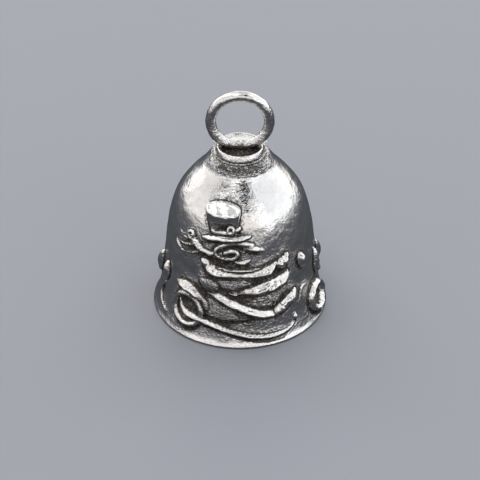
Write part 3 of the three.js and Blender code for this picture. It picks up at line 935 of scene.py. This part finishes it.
def make_collar():
    """A thin flange, a band that narrows upwards and a dish in the top. The groove under the band is
    darkened with patina and painted shade, and the dish, behind the ring's front, has painted shade on its
    front half that fades towards its back.
    """
    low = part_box("collar")[0].z / MM
    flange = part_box("collar")[1].x / MM
    band_foot = low + 0.4
    band_top = low + 1.16
    outline = [
        [0, low],
        [flange - 0.05, low],
        [flange, low + 0.04],
        [flange, low + 0.11],
        [flange - 0.05, low + 0.16],
        [3.50, low + 0.18],
        [3.42, low + 0.21],
        [3.41, low + 0.27],
        [3.46, low + 0.32],
        [3.52, low + 0.40],
        [3.52, low + 0.50],
        [3.47, low + 0.65],
        [3.39, low + 0.85],
        [3.31, low + 1.04],
        [3.26, band_top - 0.05],
        [3.20, band_top],
        [3.10, band_top],
        [3.03, band_top - 0.04],
        [2.94, band_top - 0.16],
        [2.84, band_top - 0.27],
        [2.70, band_top - 0.30],
        [2.2, band_top - 0.3],
        [1.3, band_top - 0.28],
        [0, band_top - 0.28],
    ]
    shape = roughened(turned(outline, ((360, 120),)), 0.03, 0.6)
    collar = finished(shape, "collar_turned", 60)
    # Patina and painted shade on the flange, darkest in the groove above it; the band stays bright.
    stops = [
        [low, 0.7],
        [low + 0.16, 0.45],
        [low + 0.26, 0.95],
        [band_foot - 0.03, 0.6],
        [band_foot + 0.08, 0.08],
    ]
    dark = shades_by_height(collar, stops)
    grain = shades_by_height(collar, [[low, 0.5], [low + 0.3, 0.15]])
    # Painted shade over the dish's front half, fading to bright metal at its back.
    for i, vertex in enumerate(collar.data.vertices):
        x, y, z = vertex.co / MM
        if z > band_foot + 0.1 and math.hypot(x, y) < DISH_EDGE:
            dark[i] = np.interp(y, [-0.2, 1.0], [0.95, 0.1])
            grain[i] = np.interp(y, [-0.2, 1.0], [0.45, 0.1])
    with_shades(collar, dark=dark, grain=grain)
    dressed(collar, POLISHED, "bell", "polished_pewter", "collar")


def torus(radius, wire, sides, steps, degrees=360):
    """A ring of round wire that lies flat, centred on the origin."""
    shape = bmesh.new()
    bmesh.ops.create_circle(shape, cap_ends=degrees < 360, segments=sides, radius=wire * MM)
    stand = Matrix.Translation((radius * MM, 0, 0)) @ Matrix.Rotation(math.pi / 2, 4, "X")
    bmesh.ops.transform(shape, matrix=stand, verts=shape.verts)
    bmesh.ops.spin(
        shape,
        geom=shape.verts[:] + shape.edges[:] + shape.faces[:],
        cent=(0, 0, 0),
        axis=(0, 0, 1),
        angle=math.radians(degrees),
        steps=steps,
        use_merge=degrees == 360,
    )
    return shape


def upright(shape, height):
    """Stands a flat ring up in the plane of X and Z, its middle at a height."""
    stand = Matrix.Translation((0, 0, height * MM)) @ Matrix.Rotation(math.pi / 2, 4, "X")
    bmesh.ops.transform(shape, matrix=stand, verts=shape.verts)
    return shape


def make_hanging_ring():
    """The ring that stands across the collar, with a lug at each side of its foot."""
    low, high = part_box("hanging_ring")
    wire = high.y / MM
    radius = (high.x - low.x) / 2 / MM - wire
    middle = high.z / MM - radius - wire
    shape = upright(torus(radius, wire - 0.02, 32, 140), middle)
    for side in (-1, 1):
        lug = bmesh.ops.create_uvsphere(shape, u_segments=28, v_segments=14, radius=MM)["verts"]
        place = Matrix.Translation((side * LUG_PLACE[0] * MM, 0, LUG_PLACE[1] * MM))
        bmesh.ops.transform(shape, matrix=place @ Matrix.Diagonal((*LUG_SIZE, 1)), verts=lug)
    roughened(shape, 0.045, 1.1, 5)
    ring = finished(shape, "hanging_ring_cast", 80)
    heights = np.array([vertex.co.z / MM for vertex in ring.data.vertices])
    grain = np.interp(heights, [27, 29, 31, 33], [0.35, 0.45, 0.2, 0.1])
    dark = np.interp(heights, [26.9, 27.6, 28.6, 31], [0.8, 0.3, 0.2, 0.08])
    with_shades(ring, dark=dark, grain=grain)
    dressed(ring, POLISHED, "bell", "polished_pewter", "hanging_ring")


# ------------------------------------------------------------------------------ clapper

STEM_RADIUS = 0.42
EYE_WIRE = 0.3
WIRE_SIDES = 20
JUMP_RING_GAP = 4  # degrees
BALL_SKIN = 0.05  # room for the ball's seam and casting lumps inside its own size


def make_staple(material):
    """A U of wire whose legs go up into the crown."""
    low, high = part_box("clapper_staple")
    wire = high.y / MM
    half = high.x / MM - wire
    bend = low.z / MM + wire + half
    shape = upright(torus(half, wire, WIRE_SIDES, 40, 180), bend)
    bmesh.ops.rotate(
        shape,
        cent=(0, 0, bend * MM),
        matrix=Matrix.Rotation(math.pi, 3, "Y"),
        verts=shape.verts,
    )
    ends = [face for face in shape.faces if len(face.verts) == WIRE_SIDES]
    for end in ends:
        legs = bmesh.ops.extrude_discrete_faces(shape, faces=[end])["faces"]
        bmesh.ops.translate(shape, vec=(0, 0, high.z - bend * MM), verts=legs[0].verts)
    staple = finished(roughened(shape, 0.01, 0.5), "clapper_staple_wire")
    dressed(staple, material, "bell", "steel_wire", "clapper_staple")


def make_jump_ring(material):
    """A ring of wire that hangs on the staple, bent round with a narrow gap."""
    low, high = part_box("jump_ring")
    wire = high.x / MM
    radius = (high.y - low.y) / 2 / MM - wire
    shape = torus(radius, wire, WIRE_SIDES, 72, 360 - JUMP_RING_GAP)
    turn = Matrix.Rotation(math.pi / 2, 4, "Y") @ Matrix.Rotation(math.radians(40), 4, "Z")
    place = Matrix.Translation((0, 0, (low.z + high.z) / 2))
    bmesh.ops.transform(shape, matrix=place @ turn, verts=shape.verts)
    ring = finished(roughened(shape, 0.01, 0.5, 2), "jump_ring_wire")
    dressed(ring, material, "link", "steel_wire", "jump_ring")


def make_clapper(wire_material, ball_material):
    """A wire with an eye at its top and an upset head at its foot, and the bored ball that sits on it."""
    low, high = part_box("clapper_wire")
    eye = high.x / MM - EYE_WIRE
    eye_height = high.z / MM - eye - EYE_WIRE
    ball_low, ball_high = (corner.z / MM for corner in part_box("clapper_ball"))
    foot = low.z / MM
    shape = turned(
        [
            [0, foot],
            [0.42, foot + 0.01],
            [0.62, foot + 0.09],
            [0.74, foot + 0.25],
            [0.72, foot + 0.42],
            [0.6, foot + 0.5],
            [STEM_RADIUS, foot + 0.52],
            [STEM_RADIUS, eye_height - eye - 0.35],
            [STEM_RADIUS - 0.06, eye_height - eye - 0.1],
            [0.2, eye_height - eye + 0.12],
            [0, eye_height - eye + 0.18],
        ],
        ((360, 28),),
    )
    loop = upright(torus(eye, EYE_WIRE, WIRE_SIDES, 60), eye_height)
    spare = bpy.data.meshes.new("eye")
    loop.to_mesh(spare)
    loop.free()
    shape.from_mesh(spare)
    bpy.data.meshes.remove(spare)
    dressed(
        finished(roughened(shape, 0.012, 0.5, 3), "clapper_wire_drawn"),
        wire_material,
        "clapper",
        "steel_wire",
        "clapper_wire",
    )
    middle, radius = (ball_low + ball_high) / 2, (ball_high - ball_low) / 2 - BALL_SKIN
    rises = np.linspace(-76, 76, 61)
    seam = BALL_SKIN * np.exp(-((rises / 2.2) ** 2))
    sphere = [
        [(radius + proud) * math.cos(rise), middle + radius * math.sin(rise)]
        for rise, proud in zip(np.radians(rises), seam)
    ]
    hole = STEM_RADIUS + 0.03
    outline = [[hole, ball_low + 0.2], *sphere, [hole, ball_high - 0.2], [hole, ball_low + 0.2]]
    ball = finished(roughened(turned(outline, ((360, 90),)), 0.04, 0.9, 7), "clapper_ball_cast", 50)
    dressed(ball, ball_material, "clapper", "cast_pewter", "clapper_ball")


POLISHED = polished_pewter("polished_pewter")
make_cup()
make_collar()
make_hanging_ring()
STEEL = drawn_steel("drawn_steel")
make_staple(STEEL)
make_jump_ring(STEEL)
make_clapper(STEEL, cast_pewter("cast_pewter"))

# ------------------------------------------------------------------------------ stage and lights

BELL_MIDDLE = Vector((0, 0, 0.015))
SOFTBOX_DISTANCE = 0.6
CARD_DISTANCE = 0.5
FLOOR_HALF_SIZE = 3.0


def direction(azimuth, elevation):
    """From the bell outwards. Azimuth 0 is in front and 90 to the right."""
    turn, rise = math.radians(azimuth), math.radians(elevation)
    return Vector((math.sin(turn) * math.cos(rise), -math.cos(turn) * math.cos(rise), math.sin(rise)))


def make_floor():
    shape = bmesh.new()
    bmesh.ops.create_grid(shape, x_segments=1, y_segments=1, size=FLOOR_HALF_SIZE)
    floor = finished(shape, "floor")
    floor.data.materials.append(pale_floor("pale_floor"))
    floor.visible_glossy = False


def softbox(name, azimuths, elevations, brightness, colour):
    """A softbox that fills the given spans of azimuth and elevation as the bell sees it."""
    towards = direction(sum(azimuths) / 2, sum(elevations) / 2)
    width, height = (
        2 * SOFTBOX_DISTANCE * math.tan(math.radians(high - low) / 2)
        for low, high in (azimuths, elevations)
    )
    light = bpy.data.lights.new(name, "AREA")
    light.shape = "RECTANGLE"
    light.size, light.size_y = width, height
    light.energy, light.color = brightness * math.pi * width * height, colour
    lamp = bpy.data.objects.new(name, light)
    lamp.location = BELL_MIDDLE + towards * SOFTBOX_DISTANCE
    lamp.rotation_mode = "QUATERNION"
    lamp.rotation_quaternion = towards.to_track_quat("Z", "Y")
    lamp.visible_camera = False
    bpy.context.scene.collection.objects.link(lamp)


def black_card(name, material, azimuth, elevation, width, height, roll):
    """A black three-cornered card that shows only as a reflection."""
    towards = direction(azimuth, elevation)
    faced = towards.to_track_quat("Z", "Y").to_matrix().to_4x4()
    place = Matrix.Translation(BELL_MIDDLE + towards * CARD_DISTANCE) @ faced
    turn = Matrix.Rotation(math.radians(roll), 4, "Z")
    shape = bmesh.new()
    bmesh.ops.create_circle(shape, cap_ends=True, segments=3, radius=0.5)
    size = Matrix.Diagonal((width, height, 1, 1))
    bmesh.ops.transform(shape, matrix=place @ size @ turn, verts=shape.verts)
    card = finished(shape, name)
    card.data.materials.append(material)
    card.visible_camera = False


def make_surroundings():
    """A bright tent above and a dim room below the level of the table."""
    world = bpy.data.worlds.new("studio")
    nodes = Nodes(world)
    way = nodes.node("ShaderNodeTexCoord", {}, {}, "Generated")
    rise = nodes.node("ShaderNodeSeparateXYZ", {}, {"Vector": way}, "Z")
    stops = [
        (0.22, (0.08, 0.085, 0.095, 1)),
        (0.42, (0.13, 0.135, 0.15, 1)),
        (0.50, (0.30, 0.305, 0.32, 1)),
        (0.56, (0.42, 0.42, 0.42, 1)),
        (0.75, (0.17, 0.175, 0.185, 1)),
        (0.89, (0.15, 0.155, 0.165, 1)),
        (0.96, (0.7, 0.7, 0.7, 1)),
    ]
    colour = nodes.node("ShaderNodeValToRGB", {"stops": stops}, {"Fac": rise * 0.5 + 0.5})
    background = nodes.node("ShaderNodeBackground", {}, {"Color": colour, "Strength": 1.0})
    nodes.node("ShaderNodeOutputWorld", {}, {"Surface": background})
    bpy.context.scene.world = world


make_floor()
make_surroundings()
softbox("front_softbox", (-50, 43), (12, 41), 0.6, (1.0, 0.965, 0.93))
softbox("left_softbox", (-132, -54), (5, 43), 0.6, (1.0, 0.98, 0.96))
softbox("right_softbox", (40, 130), (3, 66), 0.78, (0.93, 0.965, 1.0))
softbox("upper_left_softbox", (-125, -14), (45, 80), 0.8, (0.96, 0.98, 1.0))
softbox("low_front_card", (-60, 60), (-1, 7), 0.32, (1.0, 0.98, 0.96))
BLACK = matt_black("matt_black")
black_card("black_card", BLACK, 8, 46, 0.56, 0.21, 180)
black_card("thin_black_card", BLACK, -34, 44.5, 0.5, 0.07, 172)
softbox("back_softbox", (122, 238), (-1, 52), 0.8, (1.0, 0.98, 0.96))
